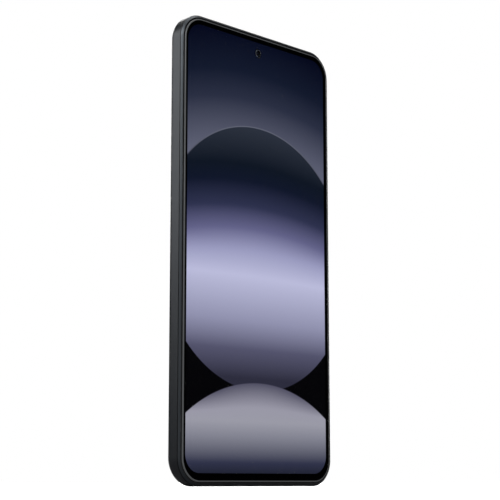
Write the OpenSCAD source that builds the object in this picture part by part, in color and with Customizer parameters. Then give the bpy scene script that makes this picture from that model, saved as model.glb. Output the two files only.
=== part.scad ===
// Smartphone, standing upright on its bottom edge, screen towards -Y.
// Every piece is drawn lying on its back: x across, y from the bottom edge to the top edge,
// z from the flat back (0) to the front of the glass (body_t). upright() then stands it up.

/* [Body] */
// Width across the frame
body_w = 75.7; // [70:0.1:92]
// Height from the bottom edge to the top edge
body_h = 162.4; // [158:0.1:196]
// Thickness from the flat back to the front glass
body_t = 8.0; // [7.8:0.1:9.6]
// Outer radius of the four corners, seen from the front
corner_r = 9.5; // [8:0.5:12]
// Thickness of the side wall
wall_t = 1.9; // [1.6:0.1:2.2]
// Width of the front chamfer
chamfer_w = 0.9; // [0.5:0.1:1.1]
// Width of the back cover's curved edge
edge_w = 4.5; // [3.6:0.1:5.5]
// Height of the back cover's curved edge
edge_h = 3.2; // [2.8:0.1:3.6]

/* [Front] */
// Thickness of the front glass
glass_t = 0.65; // [0.5:0.05:0.8]
// Distance of the glass edge from the side of the frame
glass_inset = 1.5; // [1.3:0.1:1.7]
// Thickness of the display panel
panel_t = 0.8; // [0.6:0.1:0.9]
// Distance of the display panel's edge from the side of the frame
panel_inset = 2.6; // [2.5:0.1:3]
// Diameter of the hole in the display for the front camera
punch_d = 3.8; // [3:0.1:4.5]
// Distance of the front camera from the top edge
punch_y = 7.2; // [6.5:0.1:8]

/* [Rear cameras] */
// Width of the camera island
island_w = 32; // [30:0.5:34]
// Height of the camera island
island_h = 34; // [32:0.5:37]
// How far the camera island stands out of the back
island_out = 1.4; // [1:0.1:2.2]
// Outer diameter of the two large lens rings
ring_d = 13; // [10.5:0.1:13.5]
// Clear space in front of the focusing lens for its travel
focus_travel = 0.3; // [0.2:0.05:0.35]

/* [Keys and tray] */
// Length of the power key
power_len = 11; // [9:0.5:14]
// Distance of the power key's centre from the bottom edge
power_y = 98; // [94:0.5:99]
// Length of the volume key
volume_len = 22; // [18:0.5:26]
// Distance of the volume key's centre from the bottom edge
volume_y = 121; // [119.5:0.5:124]
// Free travel of the power key before its switch
key_travel = 0.3; // [0.2:0.01:0.35]
// Width of the card tray's outer face
tray_cap_w = 15; // [14:0.5:16]
// Depth of the card tray behind its outer face
tray_depth = 18; // [16:0.5:19]

/* [Battery] */
// Width of the battery
battery_w = 61; // [50:0.5:61.5]
// Height of the battery
battery_h = 84; // [66:0.5:84.5]

/* [Hidden] */
$fn = 48;

eps = 0.01;
fit_gap = 0.1;       // round a key, tray or lens that slides in its slot
seat_gap = 0.08;     // round a glued piece in its seat
part_gap = 0.3;      // between neighbours that don't touch
through = 20;        // length of a cut that goes right through

// Levels of the stack, from the back to the front
cover_t = 0.9;
sheet_t = 0.1;
seam_z = 2.5;                              // where the frame meets the back gasket
gasket_t = 0.15;
glass_z = body_t - glass_t;
panel_z = glass_z - panel_t;
ledge_z = glass_z - 0.3;                   // the frame's ledge under the display gasket
land_z = body_t - 0.3;                     // the frame's narrow land round the glass
side_top_z = land_z - 0.78 * chamfer_w;    // where the chamfer meets the flat side
plate_t = 0.6;
plate_top_z = panel_z - 0.15;
plate_z = plate_top_z - plate_t;
board_t = 0.8;
board_z = 3.2;
board_top_z = board_z + board_t;
bracket_t = 0.6;
bracket_z = 1.5;
battery_z = 1.45;
battery_t = plate_z - 0.15 - battery_z;
key_z = (seam_z + side_top_z) / 2 + 0.35;  // centre line of the keys, tray and holes
port_z = panel_z - 0.1 - 1.6;              // centre line of the charging socket

// Distances from the side of the frame
ledge_in = panel_inset - 0.15;
shelf_in = 3.4;
board_in = 3.9;
inner_x = body_w / 2 - board_in;

// Places along the height
battery_y = 25;
battery_end_y = battery_y + battery_h;
main_board_y = battery_end_y + 4;
bracket_y = battery_end_y + 2.6;
board_end_y = body_h - board_in;
sub_board_w = 8.4;                         // distance from the middle to the lower board's right end
sub_board_end_y = battery_y - 3;
camera_y = body_h - punch_y;

// Rear camera island, on the left when the back is looked at
island_in = 5.4;                           // distance of the island from the side and the top
island_x = body_w / 2 - island_in - island_w / 2;
island_y = body_h - island_in - island_h / 2;
island_r = 8;
island_flange = 1.2;
lens_dx = island_w / 2 - ring_d / 2 - 2.3;
lens_dy = island_h / 2 - ring_d / 2 - 2.3;
main_x = island_x + lens_dx;
main_y = island_y + lens_dy;
wide_y = island_y - lens_dy;
small_x = island_x - lens_dx - 0.6;
small_y = main_y;
small_ring_d = ring_d - 5;
module_s = 11;
barrel_r = 3.4;
window_t = 0.6;

// Card tray, in the top edge
tray_x = -body_w / 2 + 19;
tray_w = 10.6;
tray_t = 1.1;
tray_cap_t = 1.0;
tray_z = key_z - 0.2;
tray_cap_h = 2.3;
eject_x = tray_x + tray_cap_w / 2 - 1.3;
eject_r = 0.45;
lever_arm = 4;
lever_pin_r = 0.5;
rod_top = body_h - 2.6;
rod_len = tray_depth + 1.6;
lever_y = rod_top - rod_len - part_gap - 0.5;

// Keys
key_h = 1.9;
key_out = 0.45;
key_wall = 1.0;
flange_t = 0.4;
power_gap = 0.1;                           // flange to wall, at rest
volume_gap = 0.25;
dome_in = key_wall + power_gap + flange_t + key_travel;  // distance of the switch domes from the side
keys_low = power_y - power_len / 2;
keys_high = volume_y + volume_len / 2;

// Charging socket and sound holes, in the bottom edge
port_w = 8.94;
port_h = 3.16;
port_wall = 0.3;
port_len = 7.3;
port_start = 1.3;
speaker_start = sub_board_w + 0.6;
speaker_end = inner_x - 0.9;
speaker_x = (speaker_start + speaker_end) / 2;
speaker_w = speaker_end - speaker_start;
speaker_hole_r = 0.55;
speaker_pitch = 2.3;
speaker_holes = 6;
mesh_w = (speaker_holes - 1) * speaker_pitch + 3;
mesh_in = 1.2;                             // distance of the speaker mesh from the bottom edge
mic_x = -11;
mic_r = 0.45;

// Screws: one shank radius and head for all of them
screw_r = 0.7;
head_r = 1.3;
head_t = 0.5;
boss_r = 1.6;
thread_gap = 0.03;
// Screws that hold the upper bracket: distance from the middle, and from the top edge
upper_screws = [[-inner_x + 2.2, 24.5], [-inner_x + 2.2, 45], [-4.6, 45], [-4.6, 25], [inner_x - 2.2, 45.3]];
// Screws that hold the lower bracket and the speaker box: from the middle, and from the bottom edge
corner_in = corner_r - (corner_r - shelf_in - boss_r - 0.2) / sqrt(2);
lower_screws = [
    [-body_w / 2 + corner_in, corner_in],
    [-inner_x + 2.4, 19.5],
    [6.8, 19.5],
    [inner_x - 2.4, 19.5]
];
haptic_w = 15;
haptic_x = -body_w / 2 + corner_in + boss_r + 0.4 + haptic_w / 2;
screw_places = concat(
    [for (p = upper_screws) [p[0], body_h - p[1]]],
    lower_screws
);

// Inward distance of the back cover's curved edge at height z, for a curve set in by t
edge_r = (edge_w * edge_w + edge_h * edge_h) / (2 * edge_h);
function edge_in(z, t = 0) = edge_w - sqrt(pow(edge_r - t, 2) - pow(edge_r - z, 2));

module upright() {
    translate([0, body_t / 2, 0])
        rotate([90, 0, 0])
            children();
}

// Rectangle with round corners, centred
module rrect(w, h, r) {
    square([w - 2 * r, h], center = true);
    square([w, h - 2 * r], center = true);
    for (sx = [-1, 1], sy = [-1, 1])
        translate([sx * (w / 2 - r), sy * (h / 2 - r)])
            circle(r);
}

// Outline of the phone set in by a distance
module outline(inset) {
    translate([0, body_h / 2])
        rrect(body_w - 2 * inset, body_h - 2 * inset, corner_r - inset);
}

module slab(inset, z0, z1) {
    translate([0, 0, z0])
        linear_extrude(z1 - z0)
            outline(inset);
}

module ring_slab(inset_out, inset_in, z0, z1) {
    translate([0, 0, z0])
        linear_extrude(z1 - z0)
            difference() {
                outline(inset_out);
                outline(inset_in);
            }
}

// Carries a section (x is the distance in from the side, y is the height) round the whole edge
module edge_sweep() {
    for (k = [0:3]) {
        half_w = (k % 2 == 0 ? body_w : body_h) / 2;
        run = (k % 2 == 0 ? body_h : body_w) / 2 - corner_r;
        translate([0, body_h / 2, 0])
            rotate([0, 0, 90 * k]) {
                translate([half_w, run, 0])
                    rotate([90, 0, 0])
                        linear_extrude(2 * run)
                            mirror([1, 0])
                                children();
                translate([half_w - corner_r, run, 0])
                    rotate_extrude(angle = 90)
                        translate([corner_r, 0])
                            mirror([1, 0])
                                children();
            }
    }
}

// Box centred on x and y, standing on z
module block(x, y, z, w, h, t) {
    translate([x - w / 2, y - h / 2, z])
        cube([w, h, t]);
}

module post(x, y, z, r, t) {
    translate([x, y, z])
        cylinder(r = r, h = t);
}

module plate(x, y, z, w, h, t, r) {
    translate([x, y, z])
        linear_extrude(t)
            rrect(w, h, r);
}

// Bar with round ends that lies across the bottom or top edge, from y0 over a length
module oval_y(x, y0, z, w, h, len) {
    translate([x, y0 + len, z])
        rotate([90, 0, 0])
            linear_extrude(len)
                rrect(w, h, h / 2 - eps);
}

// Bar with round ends along a side, from x0 over a depth
module oval_x(x0, y, z, len, h, depth) {
    translate([x0, y, z])
        rotate([90, 0, 90])
            linear_extrude(depth)
                rrect(len, h, h / 2 - eps);
}

module hole_y(x, y0, z, r, len) {
    translate([x, y0 + len, z])
        rotate([90, 0, 0])
            cylinder(r = r, h = len);
}

// Flat plate from x0 to x1 and y0 to y1 that stays inside the frame and follows its corners
module inner_plate(x0, x1, y0, y1, z, t) {
    intersection() {
        slab(board_in, z, z + t);
        translate([x0, y0, z - 1])
            cube([x1 - x0, y1 - y0, t + 2]);
    }
}

module screw_holes(r, z, t) {
    for (p = screw_places)
        post(p[0], p[1], z, r, t);
}

// ---------------------------------------------------------------- frame and covers

module key_opening(y, len) {
    oval_x(body_w / 2 - key_wall - eps, y, key_z, len + 2 * fit_gap, key_h + 2 * fit_gap, through);
    block(body_w / 2 - key_wall - 1.3, y, key_z - key_h / 2 - 0.45, 2.6, len + 3.2, key_h + 0.9);
}

module tray_opening() {
    oval_y(tray_x, body_h - tray_cap_t - fit_gap, key_z,
           tray_cap_w + 2 * fit_gap, tray_cap_h + 2 * fit_gap, through);
    block(tray_x, body_h - 2.5, tray_z - tray_t / 2 - 0.2, tray_w + 0.5, 4.2, tray_t + 0.4);
    hole_y(eject_x, body_h - 5, tray_z, eject_r + 0.3, 5);
}

module side_frame() {
    color("#3c4044")
        difference() {
            edge_sweep()
                polygon([
                    [edge_in(seam_z), seam_z],
                    [edge_in(seam_z + 0.3), seam_z + 0.3],
                    [0, edge_h],
                    [0, side_top_z],
                    [chamfer_w, land_z],
                    [glass_inset - seat_gap, land_z],
                    [glass_inset - seat_gap, ledge_z],
                    [ledge_in, ledge_z],
                    [ledge_in, plate_z],
                    [shelf_in, plate_z],
                    [shelf_in, plate_z - 0.5],
                    [wall_t, plate_z - 1.1],
                    [wall_t, seam_z]
                ]);
            key_opening(power_y, power_len);
            key_opening(volume_y, volume_len);
            // channel for the keys' flat cable, behind both keys
            block(body_w / 2 - 2.8, (keys_low + keys_high) / 2, key_z - 1.05,
                  1.7, keys_high - keys_low + 0.4, 2.1);
            tray_opening();
            oval_y(0, -eps, port_z, port_w - 0.2, port_h - 0.2, through / 4);
            oval_y(0, port_start - 0.25, port_z, port_w + 0.3, port_h + 0.1, through / 4);
            // pocket for the speaker mesh, behind the sound holes
            block(speaker_x, mesh_in + 1.2, key_z - 0.9, mesh_w + 0.3, 2.4, 1.55);
            for (i = [0:speaker_holes - 1])
                hole_y(speaker_x + (i - (speaker_holes - 1) / 2) * speaker_pitch, -eps, key_z,
                       speaker_hole_r, 5);
            hole_y(mic_x, -eps, key_z, mic_r, 5);
            hole_y(8, body_h - 5, key_z, mic_r, 5 + eps);
            // slit for the earpiece, between the glass and the frame
            block(0, body_h - 1.24, glass_z - 0.65, 11.4, 0.5, through);
        }
}

module mid_plate() {
    color("#8d9196")
        difference() {
            union() {
                slab(ledge_in + 0.05, plate_z, plate_top_z);
                for (p = screw_places)
                    post(p[0], p[1], board_top_z, boss_r, plate_z - board_top_z + eps);
            }
            for (p = screw_places)
                post(p[0], p[1], board_top_z - 1, screw_r + thread_gap, 2.9);
            // round the keys, the tray, the socket and the front camera
            block(body_w / 2 - 1.3, power_y, plate_z - 1, 3.4, power_len + 4, 2);
            block(body_w / 2 - 1.3, volume_y, plate_z - 1, 3.4, volume_len + 4, 2);
            block(0, 0, plate_z - 1, port_w + 1.2, 2 * (port_start + port_len + 1), 3);
            block(tray_x, body_h, plate_z - 1, tray_cap_w + 1, 8, 2);
            post(0, camera_y, plate_z - 1, 3.2, 3);
            block(0, 38, plate_z - 1, 9.6, 9.6, 3);
            block(-9, 19, plate_z - 1, 11, 1.2, 3);
        }
}

module back_cover() {
    color("#33373b")
        difference() {
            union() {
                edge_sweep()
                    difference() {
                        intersection() {
                            translate([edge_w, edge_r])
                                circle(edge_r, $fn = 96);
                            square([edge_w, seam_z - gasket_t]);
                        }
                        translate([edge_w, edge_r])
                            circle(edge_r - cover_t, $fn = 96);
                    }
                slab(edge_w, 0, cover_t);
            }
            plate(island_x, island_y, -1, island_w + 2 * seat_gap, island_h + 2 * seat_gap, 3,
                  island_r + seat_gap);
        }
}

module display_glass() {
    color([0.5, 0.55, 0.6, 0.35])
        union() {
            slab(glass_inset, glass_z, body_t - 0.2);
            slab(glass_inset + 0.12, body_t - 0.2, body_t);
        }
}

module display_panel() {
    color("#0b0b14")
        difference() {
            slab(panel_inset, panel_z, glass_z);
            post(0, camera_y, panel_z - 1, punch_d / 2, 3);
        }
}

module display_gasket() {
    color("#101010")
        difference() {
            ring_slab(glass_inset + 0.05, ledge_in - 0.1, ledge_z, glass_z);
            block(0, body_h, ledge_z - 1, 11.8, 8, 3);
        }
}

module back_gasket() {
    color("#151515")
        ring_slab(edge_in(seam_z - gasket_t) + 0.1, edge_in(seam_z - gasket_t, cover_t) - 0.1,
                  seam_z - gasket_t, seam_z);
}

module graphite_sheet() {
    color("#26282b")
        difference() {
            plate(0, body_h / 2, cover_t, body_w - 14, body_h - 14, sheet_t, 4);
            plate(island_x, island_y, 0, island_w + 6, island_h + 16, 3, 4);
        }
}

// ---------------------------------------------------------------- front camera and earpiece

module front_camera() {
    color("#14161b")
        union() {
            block(0, camera_y, board_top_z + 0.1, 5.2, 5.2, 1.5);
            difference() {
                post(0, camera_y, board_top_z + 1.6 - eps, 2.6, panel_z - board_top_z - 1.75);
                post(0, camera_y, panel_z - 0.4, 2.1, 1);
            }
            post(0, camera_y, panel_z - 0.5, 1.55, glass_z - panel_z + 0.4);
        }
}

module earpiece_mesh() {
    color("#2a2b2d")
        difference() {
            block(0, body_h - 1.24, land_z - 0.5, 11.2, 0.3, 0.15);
            for (i = [-13:13])
                post(i * 0.4, body_h - 1.24, land_z - 1, 0.09, 1);
        }
}

module earpiece_box() {
    color("#1b1c1e")
        difference() {
            block(9.8, board_end_y - 2.9, board_top_z + 0.05, 11, 5, 1.65);
            block(9.8, board_end_y - 2.9, board_top_z + 0.5, 9.8, 3.8, 0.75);
            for (i = [-2:2])
                post(9.8 + i * 1.6, board_end_y - 2.9, board_top_z + 1, 0.35, 2);
        }
}

module earpiece_diaphragm() {
    color("#c9c4b0")
        plate(9.8, board_end_y - 2.9, board_top_z + 0.8, 9.2, 3.2, 0.1, 1.2);
}

// ---------------------------------------------------------------- rear cameras

module camera_island() {
    color("#26292c")
        difference() {
            union() {
                plate(island_x, island_y, -island_out, island_w, island_h, cover_t + island_out + 0.1,
                      island_r);
                plate(island_x, island_y, cover_t + 0.05, island_w + 2 * island_flange,
                      island_h + 2 * island_flange, 0.4, island_r + island_flange);
            }
            for (y = [main_y, wide_y]) {
                post(main_x, y, -island_out - 1, ring_d / 2 + seat_gap, island_out + 1.6);
                post(main_x, y, -island_out - 1, ring_d / 2 - 1, 6);
            }
            post(small_x, small_y, -island_out - 1, small_ring_d / 2 + seat_gap, island_out + 1.6);
            post(small_x, small_y, -island_out - 1, small_ring_d / 2 - 1, 6);
            post(small_x, wide_y, -island_out - 1, 2.5 + seat_gap, 6);
        }
}

module lens_ring(x, y, d) {
    difference() {
        union() {
            post(x, y, -island_out - 0.6, d / 2 - 0.3, 0.3 + eps);
            post(x, y, -island_out - 0.3, d / 2, island_out + 0.9);
        }
        post(x, y, -island_out - 1, d / 2 - 1, 6);
        post(x, y, -island_out - 1, d / 2 - 0.7, window_t + 0.5);
    }
}

module lens_rings() {
    color("#6c7074") {
        lens_ring(main_x, main_y, ring_d);
        lens_ring(main_x, wide_y, ring_d);
        lens_ring(small_x, small_y, small_ring_d);
    }
}

module lens_windows() {
    color([0.1, 0.12, 0.16, 0.5]) {
        for (y = [main_y, wide_y])
            post(main_x, y, -island_out - 0.5, ring_d / 2 - 0.78, window_t - 0.1);
        post(small_x, small_y, -island_out - 0.5, small_ring_d / 2 - 0.78, window_t - 0.1);
    }
}

// Square housing with a bore for a lens barrel that looks out of the back
module camera_housing(x, y, s, bore_r, depth) {
    front = cover_t + 0.7;
    difference() {
        block(x, y, front, s, s, plate_z - 0.15 - front);
        post(x, y, front - 1, bore_r, depth + 1);
    }
}

module fixed_lens(x, y, r, front) {
    difference() {
        post(x, y, front, r, 2.2);
        post(x, y, front - 1, r * 0.62, 1.35);
    }
}

module main_camera() {
    color("#3a3d42")
        camera_housing(main_x, main_y, module_s, barrel_r + fit_gap, 2.9);
}

module main_lens_barrel() {
    color("#101114")
        fixed_lens(main_x, main_y, barrel_r, cover_t + 0.3 + focus_travel);
}

module wide_camera() {
    color("#3a3d42") {
        difference() {
            camera_housing(main_x, wide_y, module_s - 1, 2.9, 2.2);
            post(main_x, wide_y, cover_t + 0.5, 2.5, 0.5);
        }
        fixed_lens(main_x, wide_y, 2.85, cover_t + 0.7);
    }
}

module close_camera() {
    color("#3a3d42") {
        camera_housing(small_x, small_y, 7, 2.2, 2.2);
        fixed_lens(small_x, small_y, 2.15, cover_t + 0.7);
    }
}

module flash_led() {
    color("#e9d27a")
        plate(small_x, wide_y, cover_t + 0.3, 3.4, 3.4, 0.6, 0.4);
}

module flash_lens() {
    color("#f1efe6")
        union() {
            post(small_x, wide_y, -island_out, 2.5, 0.8);
            post(small_x, wide_y, -island_out + 0.8 - eps, 2.2, 0.8);
        }
}

// ---------------------------------------------------------------- keys

module key(y, len, flange_gap) {
    oval_x(body_w / 2 - key_wall - flange_gap - eps, y, key_z, len, key_h, key_wall + key_out + flange_gap);
    block(body_w / 2 - key_wall - flange_gap - flange_t / 2, y, key_z - key_h / 2 - 0.3,
          flange_t, len + 1.6, key_h + 0.6);
}

module power_button() {
    color("#3c4044")
        key(power_y, power_len, power_gap);
}

module volume_rocker() {
    color("#3c4044")
        key(volume_y, volume_len, volume_gap);
}

module side_key_flex() {
    flex_x = body_w / 2 - dome_in - 0.2;
    color("#8a5a22") {
        translate([flex_x - 0.15, keys_low, key_z - 0.9])
            cube([0.15, keys_high - keys_low, 1.8]);
        for (y = [power_y, volume_y - volume_len / 2 + 3, volume_y + volume_len / 2 - 3])
            translate([flex_x - eps, y, key_z])
                rotate([0, 90, 0])
                    cylinder(r = 0.8, h = 0.2);
    }
}

module side_key_bracket() {
    bracket_x = body_w / 2 - dome_in - 0.37;
    color("#9a9da0")
        translate([bracket_x - 0.25, keys_low, key_z - 0.95])
            cube([0.25, keys_high - keys_low, 1.9]);
}

// ---------------------------------------------------------------- card tray

module sim_tray() {
    neck_y = body_h - tray_cap_t;
    color("#3c4044")
        difference() {
            union() {
                oval_y(tray_x, neck_y, key_z, tray_cap_w, tray_cap_h, tray_cap_t);
                block(tray_x, neck_y - tray_depth / 2 + eps, tray_z - tray_t / 2, tray_w, tray_depth, tray_t);
            }
            // pocket for a card of 12.3 by 8.8 by 0.67 mm, with a lip left under it
            block(tray_x, neck_y - tray_depth / 2 - 0.6, tray_z - tray_t / 2 + 0.35, 9, 12.5, tray_t);
            block(tray_x, neck_y - tray_depth / 2 - 0.6, tray_z - tray_t, 7.4, 10.5, 3);
            hole_y(eject_x, body_h - 5, tray_z, eject_r, 6);
        }
}

module sim_seal() {
    color("#7a2a22")
        translate([0, body_h - 1.9, 0])
            difference() {
                block(tray_x, 0.2, tray_z - tray_t / 2 - 0.15, tray_w + 0.3, 0.4, tray_t + 0.3);
                block(tray_x, 0.2, tray_z - tray_t / 2 - 0.03, tray_w + 0.06, 1, tray_t + 0.06);
            }
}

module sim_reader() {
    reader_y = body_h - board_in - 0.3 - tray_depth / 2 + 0.8;
    color("#b3b6b9")
        difference() {
            block(tray_x, reader_y, board_top_z, tray_w + 0.8, tray_depth, plate_z - 0.05 - board_top_z);
            block(tray_x, reader_y, tray_z - tray_t / 2 - 0.12, tray_w + 0.3, tray_depth + 2, tray_t + 0.24);
            block(tray_x, reader_y - 1, board_top_z + 1, 6, 8, 3);
        }
}

module eject_rod() {
    color("#a9acaf")
        translate([eject_x - 0.4, rod_top - rod_len, tray_z - 0.4])
            cube([0.8, rod_len, 0.8]);
}

module eject_lever() {
    color("#a9acaf")
        difference() {
            union() {
                block(eject_x - lever_arm, lever_y, tray_z - 0.4, 2 * lever_arm + 1.2, 1, 0.8);
                post(eject_x - lever_arm, lever_y, tray_z - 0.4, 1.1, 0.8);
            }
            post(eject_x - lever_arm, lever_y, board_top_z, lever_pin_r + 0.05, 6);
        }
}

// ---------------------------------------------------------------- boards

module board_cutouts(z, t) {
    for (y = [main_y, wide_y])
        block(main_x, y, z, module_s + 0.6, module_s + 0.6, t);
    block(small_x, small_y, z, 7.6, 7.6, t);
    block(small_x, wide_y, z, 6, 6, t);
}

module main_board() {
    color("#17402a")
        difference() {
            union() {
                inner_plate(-inner_x, inner_x, main_board_y, body_h, board_z, board_t);
                post(eject_x - lever_arm, lever_y, board_top_z - eps,
                     lever_pin_r, tray_z + 0.55 - board_top_z);
            }
            board_cutouts(board_z - 1, 3);
            screw_holes(screw_r + 0.15, board_z - 1, 2.9);
        }
}

module back_shields() {
    color("#b8babc")
        difference() {
            union() {
                block(-19.6, main_board_y + 16.5, board_z - 0.9, 21, 17, 0.9);
                block(-19.6, board_end_y - 12, board_z - 0.9, 19, 15, 0.9);
            }
            block(-19.6, main_board_y + 16.5, board_z - 0.75, 20.6, 16.6, 0.9);
            block(-19.6, board_end_y - 12, board_z - 0.75, 18.6, 14.6, 0.9);
        }
}

module front_shields() {
    color("#b8babc")
        difference() {
            union() {
                block(-17.5, main_board_y + 10, board_top_z, 18, 9.5, 1.4);
                block(12, main_board_y + 3.2, board_top_z, 24, 4.8, 1.4);
            }
            block(-17.5, main_board_y + 10, board_top_z - 0.2, 17.6, 9.1, 1.4);
            block(12, main_board_y + 3.2, board_top_z - 0.2, 23.6, 4.4, 1.4);
        }
}

module board_connectors() {
    color("#d8d0b8") {
        block(0, main_board_y + 2.4, board_z - 0.5, 11.4, 2.2, 0.5);
        block(0, sub_board_end_y - 2.4, board_z - 0.5, 11.4, 2.2, 0.5);
        block(-9, sub_board_end_y - 4.6, board_top_z, 10, 2.2, 0.5);
    }
}

module upper_bracket() {
    color("#1d1f21")
        difference() {
            inner_plate(-inner_x, inner_x, bracket_y, body_h, bracket_z, bracket_t);
            // the cameras take the whole right corner
            translate([island_x - island_w / 2 - 1.5, island_y - island_h / 2 - 1.5, 0])
                cube([body_w, body_h, 5]);
            screw_holes(screw_r + 0.15, bracket_z - 1, 3);
        }
}

module sub_board() {
    color("#17402a")
        difference() {
            inner_plate(-inner_x, sub_board_w, 0, sub_board_end_y, board_z, board_t);
            block(0, 0, board_z - 1, port_w + 0.4, 2 * (port_start + port_len + 0.2), 3);
            block(haptic_x, 11, board_z - 1, haptic_w + 0.4, 9.4, 3);
            screw_holes(screw_r + 0.15, board_z - 1, 3);
        }
}

module lower_bracket() {
    color("#1d1f21")
        difference() {
            inner_plate(-inner_x, sub_board_w, 0, sub_board_end_y, bracket_z, bracket_t);
            screw_holes(screw_r + 0.15, bracket_z - 1, 3);
        }
}

module main_mic() {
    color("#c7c9cb")
        block(mic_x, board_in + 2.5, board_top_z, 3.2, 2.4, 1.0);
}

module top_mic() {
    color("#c7c9cb")
        block(2.2, board_end_y - 8.6, board_top_z, 3.2, 2.4, 1.0);
}

// ---------------------------------------------------------------- battery and flat cables

module battery() {
    color("#1b1b1d")
        union() {
            plate(-1.5, battery_y + battery_h / 2, battery_z, battery_w, battery_h - 2.4, battery_t, 1.2);
            plate(-1.5, battery_y + battery_h / 2, battery_z + 1,
                  battery_w - 3, battery_h, battery_t - 2, 1.2);
        }
}

module battery_adhesive() {
    color("#e8e8e4")
        for (x = [-20, 17])
            block(x, battery_y + battery_h / 2, plate_z - 0.15, 14, battery_h - 12, 0.15);
}

// Section of the flat cable: over the battery and down at both ends
module main_flex() {
    t = 0.12;
    high = battery_z - 0.3;
    low = board_z - 0.5 - t;
    y0 = battery_y - 1.5;
    y1 = battery_end_y + 1.3;
    in0 = sub_board_end_y - 3.4;
    in1 = main_board_y + 3.4;
    color("#a5691f")
        translate([-5.5, 0, 0])
            rotate([90, 0, 90])
                linear_extrude(11)
                    union() {
                        translate([in0, low])
                            square([y0 - in0, t]);
                        translate([y0 - t, high])
                            square([t, low + t - high]);
                        translate([y0 - t, high])
                            square([y1 - y0 + 2 * t, t]);
                        translate([y1, high])
                            square([t, low + t - high]);
                        translate([y1, low])
                            square([in1 - y1, t]);
                    }
}

// Strip under the panel that turns down through the plate to its plug on the lower board
module display_flex() {
    color("#a5691f")
        union() {
            block(-9, 12.5, plate_top_z + 0.02, 10, 13, 0.1);
            block(-9, 19, board_top_z + 0.5, 10, 0.1, plate_top_z - board_top_z - 0.38);
            block(-9, 18, board_top_z + 0.5, 10, 2.1, 0.1);
        }
}

module coax_cable() {
    cable_x = -body_w / 2 + 3;
    color("#202020")
        union() {
            hole_y(cable_x, sub_board_end_y - 1.5, 2.7, 0.4, main_board_y - sub_board_end_y + 3);
            for (y = [sub_board_end_y - 1.5, main_board_y + 1.5])
                block(cable_x + 0.7, y, 2.2, 2.2, 1.6, 1);
        }
}

module fingerprint_sensor() {
    color("#2b2f36")
        plate(0, 38, plate_z - 0.1, 8.6, 8.6, panel_z - plate_z + 0.05, 1);
}

// ---------------------------------------------------------------- charging socket

module usb_port() {
    color("#c4c6c8")
        difference() {
            oval_y(0, port_start, port_z, port_w, port_h, port_len);
            oval_y(0, port_start - 1, port_z, port_w - 2 * port_wall, port_h - 2 * port_wall, port_len + 0.4);
        }
}

module usb_tongue() {
    color("#101010")
        union() {
            block(0, port_start + 3.85, port_z - 0.35, 6.2, 5.1, 0.7);
            oval_y(0, port_start + port_len - 1.2, port_z, port_w - 2 * port_wall - 0.06,
                   port_h - 2 * port_wall - 0.06, 0.6);
        }
}

module usb_seal() {
    color("#1a1a1a")
        difference() {
            oval_y(0, port_start - 0.2, port_z, port_w, port_h, 0.18);
            oval_y(0, 0, port_z, port_w - 2 * port_wall, port_h - 2 * port_wall, 3);
        }
}

// ---------------------------------------------------------------- speakers and haptics

module speaker_box() {
    box_h = sub_board_end_y - edge_w;
    box_y = edge_w + box_h / 2;
    color("#232527")
        difference() {
            inner_plate(speaker_start, speaker_end, edge_w, sub_board_end_y,
                        bracket_z, plate_z - 0.2 - bracket_z);
            block(speaker_x - 1, box_y, bracket_z + 0.8, speaker_w - 7, box_h - 5, plate_z - 1.2 - bracket_z);
            // throat towards the sound holes
            block(speaker_x - 1, edge_w, key_z - 0.8, 13, 8, 1.6);
            screw_holes(screw_r + 0.15, bracket_z - 1, 5);
            for (p = lower_screws)
                post(p[0], p[1], board_top_z - 0.1, boss_r + 0.15, 5);
        }
}

module speaker_diaphragm() {
    color("#c9c4b0")
        plate(speaker_x - 1, (edge_w + sub_board_end_y) / 2, bracket_z + 1.5, speaker_w - 8, 11, 0.15, 2);
}

module speaker_mesh() {
    color("#303234")
        block(speaker_x, mesh_in + 0.1, key_z - 0.8, mesh_w, 0.15, 1.4);
}

module haptic_case() {
    color("#aeb1b4")
        difference() {
            block(haptic_x, 11, board_z - 0.8, haptic_w, 9, 3.2);
            block(haptic_x, 11, board_z - 0.6, haptic_w - 0.4, 8.6, 2.8);
        }
}

module haptic_mass() {
    color("#7d7f82")
        block(haptic_x, 11, board_z - 0.3, 9, 7.6, 2.2);
}

module haptic_springs() {
    color("#c0c2c4")
        for (side = [-1, 1])
            translate([haptic_x, 11, board_z - 0.1])
                for (k = [0:1])
                    block(side * (5.6 + k * 0.9), 0, 0, 0.15, 7, 1.8);
}

module screws() {
    color("#9fa2a5")
        for (p = screw_places)
            difference() {
                union() {
                    post(p[0], p[1], bracket_z - head_t, head_r, head_t);
                    post(p[0], p[1], bracket_z - eps, screw_r, board_top_z + 1.5 - bracket_z);
                }
                block(p[0], p[1], bracket_z - head_t - 0.01, 1.3, 0.35, 0.3);
                block(p[0], p[1], bracket_z - head_t - 0.01, 0.35, 1.3, 0.3);
            }
}

upright() side_frame();
upright() mid_plate();
upright() back_cover();
upright() display_glass();
upright() display_panel();
upright() display_gasket();
upright() back_gasket();
upright() earpiece_mesh();
upright() front_camera();
upright() camera_island();
upright() lens_rings();
upright() lens_windows();
upright() main_camera();
upright() main_lens_barrel();
upright() wide_camera();
upright() close_camera();
upright() flash_led();
upright() flash_lens();
upright() power_button();
upright() volume_rocker();
upright() side_key_flex();
upright() side_key_bracket();
upright() sim_tray();
upright() sim_seal();
upright() sim_reader();
upright() eject_rod();
upright() eject_lever();
upright() main_board();
upright() back_shields();
upright() front_shields();
upright() board_connectors();
upright() upper_bracket();
upright() graphite_sheet();
upright() battery();
upright() battery_adhesive();
upright() main_flex();
upright() display_flex();
upright() coax_cable();
upright() fingerprint_sensor();
upright() top_mic();
upright() sub_board();
upright() main_mic();
upright() usb_port();
upright() usb_tongue();
upright() usb_seal();
upright() lower_bracket();
upright() speaker_box();
upright() speaker_diaphragm();
upright() speaker_mesh();
upright() earpiece_box();
upright() earpiece_diaphragm();
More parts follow.
